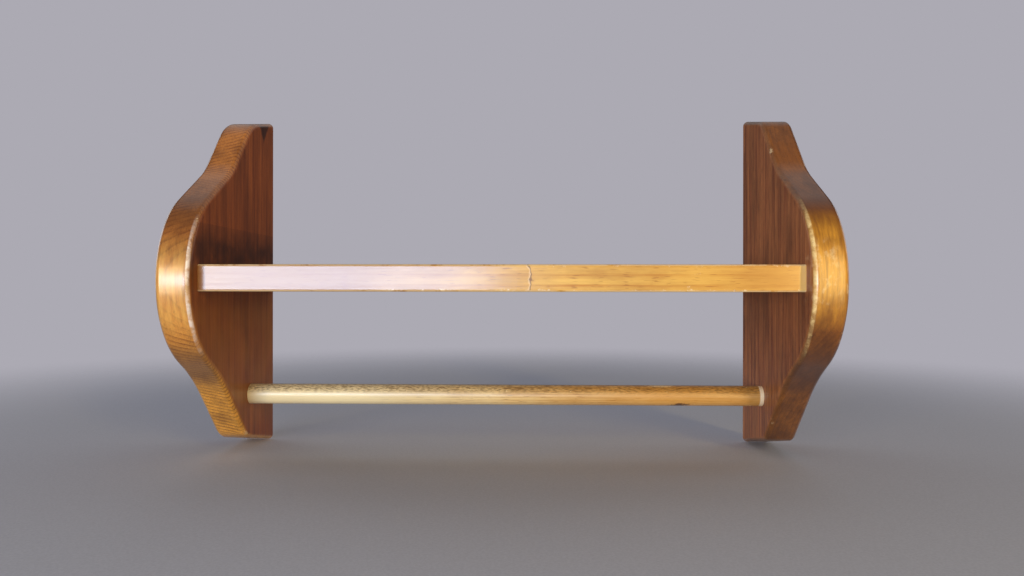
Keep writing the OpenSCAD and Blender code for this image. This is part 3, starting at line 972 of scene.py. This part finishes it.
SHELF_PINE = varnished_pine(
    "varnished_pine_shelf", "#f2c560", "#c8862e", "#925019",
    pith=(0, -0.05, -0.16), tilt=(0, math.pi / 2, 0), ring=4 * MM, depth=0.6, coat_rough=0.19,
    pores=0.62, arris_axis=2, wear=0.36,
    marks=[
        (stain_and_sheen_drift, dict(start=0.04, stop=-0.10, most=0.85, tint="#925c2a")),
        (stain_and_sheen_drift, dict(start=0.09, stop=0.19, most=0.7, tint="#c07a12")),
        # Varnish lifted along the crack, and the crack itself
        (shelf_crack, dict(x=0.0230, z=-0.090, bow=20, half_width=0.9 * MM, most=0.4, tint="#ffe6c0")),
        (shelf_crack, dict(x=0.0238, z=-0.090, bow=20, half_width=0.7 * MM, most=0.75, tint="#6b3f1a")),
        # Paler end, with painted light filling the right bulge's shadow on the shelf's front
        (shelf_front, dict(mark=pale_end, start=0.1982, stop=0.1994, most=0.7, tint="#ffcf74")),
        (edge_rub, dict(level=shelf_box[0].z + MM, low=-0.08, high=0.06, most=0.7, tint="#fdecca")),
        (edge_rub, dict(level=shelf_box[0].z + MM, low=0.08, high=0.21, most=0.6, tint="#fdecca")),
        (edge_rub, dict(level=shelf_box[1].z - MM, low=0.03, high=0.21, most=0.5, tint="#fdecca")),
    ],
)
BAR_PINE = varnished_pine(
    "varnished_pine_bar", "#fbdb98", "#c48d4a", "#80491a",
    pith=(0, -0.05, -0.21), tilt=(0, math.pi / 2, 0), ring=2.2 * MM, depth=0.6, coat_rough=0.36,
    pores=0.62,
    marks=[
        # Painted highlight, paler towards the bar's left end where the lamp's reflection spreads
        (stain_and_sheen_drift, dict(start=0.02, stop=-0.12, most=0.75, tint="#fff0c2")),
        (stain_and_sheen_drift, dict(start=0.0, stop=0.12, most=0.6, tint="#dc9420")),
        (bar_pores, dict(least=0.2, most=0.75, tint="#5c3815")),
        (bar_nicks, dict(most=0.8, tint="#f3d9a4")),
        # Once hidden in the socket, and never stained
        (pale_end, dict(start=0.1998, stop=0.2004, most=1.0, tint="#ffe4b6")),
        # A dark knot and a pale flake
        (bar_spot, dict(x=0.1384, up=-0.89, length=16 * MM, width=6.4 * MM, most=0.9, tint="#4a2208")),
        (bar_spot, dict(x=0.1234, up=0.975, length=22 * MM, width=4.6 * MM, most=0.7, tint="#f2d6a0")),
    ],
)
PLUG_PINE = varnished_pine(
    "varnished_pine_plug", "#8d5126", "#4e2610", "#3a1a0a",
    pith=(0, -0.07, -0.11), tilt=(math.pi / 2, 0, 0), ring=1.6 * MM, depth=0.6,
)
SCREW_STEEL = zinc_plated_steel("zinc_plated_steel_screw")

# Chips by (share of the thickness from the inner face, height, size)
LEFT_CHIPS = [
    (0.0, -0.049, 1.1 * MM), (0.35, -0.010, 0.9 * MM), (0.02, -0.211, 1.0 * MM),
    (0.0, -0.150, 0.7 * MM), (1.0, -0.120, 0.8 * MM), (1.0, -0.030, 0.8 * MM), (0.98, 0.020, 0.7 * MM),
]
RIGHT_CHIPS = [
    (1.0, 0.026, 0.9 * MM), (1.0, 0.012, 0.9 * MM), (0.0, -0.125, 1.0 * MM), (0.0, -0.129, 0.8 * MM),
    (0.0, -0.142, 0.9 * MM), (0.02, 0.010, 0.8 * MM), (1.0, -0.150, 0.7 * MM), (0.0, -0.046, 0.8 * MM),
]

left_panel = end_panel(-1, "left_end_panel_board", [LEFT_PINE, BARE], LEFT_CHIPS)
hand_in(left_panel, "frame", "left_end_panel")
right_panel = end_panel(1, "right_end_panel_board", [RIGHT_PINE, BARE], RIGHT_CHIPS)
hand_in(right_panel, "frame", "right_end_panel")
board = shelf([SHELF_PINE, BARE])
hand_in(board, "frame", "shelf_board")
dowel = bar([BAR_PINE])
hand_in(dowel, "bar", "towel_bar")

for name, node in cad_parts.items():
    if name.endswith("_screw"):
        node.material_slots[0].material = SCREW_STEEL
    elif name.endswith("_plug"):
        node.material_slots[0].material = PLUG_PINE


# Floor, light and camera

PAPER = "#acaab3"
OBJECT_MIDDLE = Vector((0, -0.08, -0.09))


def paper_floor():
    """Pale grey paper under the object. It fades out into a background of the same colour."""
    material, tree = fresh_material("matt_grey_paper")
    where = put(tree, "TexCoord").outputs["Object"]
    distance = put(tree, "VectorMath", {0: where}, operation="LENGTH").outputs["Value"]
    faded = put(tree, "MapRange", {
        "Value": distance, "From Min": 0.45, "From Max": 1.1, "To Min": 0.0, "To Max": 1.0,
    }, interpolation_type="SMOOTHSTEP").outputs["Result"]
    below = put(tree, "NewGeometry").outputs["Backfacing"]
    gone = put(tree, "Math", {0: faded, 1: below}, operation="MAXIMUM").outputs[0]
    # Real fibres are too fine to show, so these are drawn about 1.4 mm long
    fibres = put(tree, "TexNoise", {"Vector": where, "Scale": 700.0, "Detail": 3.0}).outputs["Fac"]
    shade = put(tree, "ValToRGB", {"Fac": fibres}, stops=[
        (0.3, colour("#bdc0cb")), (0.7, colour("#c7cad5")),
    ]).outputs["Color"]
    paper = put(tree, "BsdfPrincipled", {"Base Color": shade, "Roughness": 0.85}).outputs[0]
    clear = put(tree, "BsdfTransparent").outputs[0]
    mixed = put(tree, "MixShader", {0: gone, 1: paper, 2: clear}).outputs[0]
    put(tree, "OutputMaterial", {"Surface": mixed})
    bm = bmesh.new()
    bmesh.ops.create_circle(bm, cap_ends=True, radius=1.3, segments=64)
    gap = 0.2 * MM
    bmesh.ops.translate(bm, vec=(0, 0, FOOT_Z - gap), verts=bm.verts[:])
    floor = place_mesh(bm, "paper_floor", [material])


def softbox(name, place, width, height, power, tint):
    """Soft lamp, its width and height in metres and power in watts, turned to the object's middle."""
    lamp = bpy.data.lights.new(name, "AREA")
    lamp.shape = "RECTANGLE"
    lamp.size = width
    lamp.size_y = height
    lamp.energy = power
    lamp.color = colour(tint)[:3]
    made = bpy.data.objects.new(name, lamp)
    made.location = place
    made.rotation_euler = (OBJECT_MIDDLE - Vector(place)).to_track_quat("-Z", "Y").to_euler()
    bpy.context.scene.collection.objects.link(made)


paper_floor()
# The window shows in the shelf's left half and in the bar, and each strip in the bulge on its side
softbox("window_left", (-0.50, -1.60, -0.07), 0.86, 0.30, 16.0, "#cfe2ff")
softbox("strip_left", (-1.00, -1.55, -0.08), 0.14, 0.80, 7.5, "#ffe7b4")
softbox("strip_right", (0.84, -1.55, -0.02), 0.18, 1.40, 15.5, "#ffe094")
softbox("ceiling_behind", (0.0, 0.75, 1.25), 2.2, 1.6, 3.2, "#ffffff")
softbox("behind_left", (-1.8, 0.9, 0.3), 1.2, 1.0, 4.5, "#ffffff")
softbox("behind_right", (1.8, 0.9, 0.3), 1.2, 1.0, 3.5, "#ffffff")

# The camera sees the room at full strength. It lights the object at less than half, and the varnish
# mirrors it dimmer still, as the real shelf mirrors the wall in its own shadow close behind it
world = bpy.data.worlds.new("grey_room")
world.use_nodes = True
world.node_tree.nodes.clear()
seen = put(world.node_tree, "Background", {"Color": colour(PAPER), "Strength": 1.0}).outputs[0]
light = put(world.node_tree, "Background", {"Color": colour(PAPER), "Strength": 0.4}).outputs[0]
dim = put(world.node_tree, "Background", {"Color": colour(PAPER), "Strength": 0.12}).outputs[0]
path = put(world.node_tree, "LightPath").outputs
cast = put(world.node_tree, "MixShader", {0: path["Is Glossy Ray"], 1: light, 2: dim}).outputs[0]
both = put(world.node_tree, "MixShader", {0: path["Is Camera Ray"], 1: cast, 2: seen}).outputs[0]
put(world.node_tree, "OutputWorld", {"Surface": both})
bpy.context.scene.world = world

# The camera that was fitted to the photograph's edges
camera_data = bpy.data.cameras.new("camera")
camera_data.lens = 26.02
camera_data.sensor_width = 36
camera_data.clip_start = 0.02
camera = bpy.data.objects.new("camera", camera_data)
camera.location = (0.0214, -0.6387, -0.0968)
camera.rotation_euler = (math.radians(90.02), math.radians(-0.07), math.radians(1.46))
bpy.context.scene.collection.objects.link(camera)
bpy.context.scene.camera = camera

bpy.context.scene.view_settings.view_transform = "Standard"
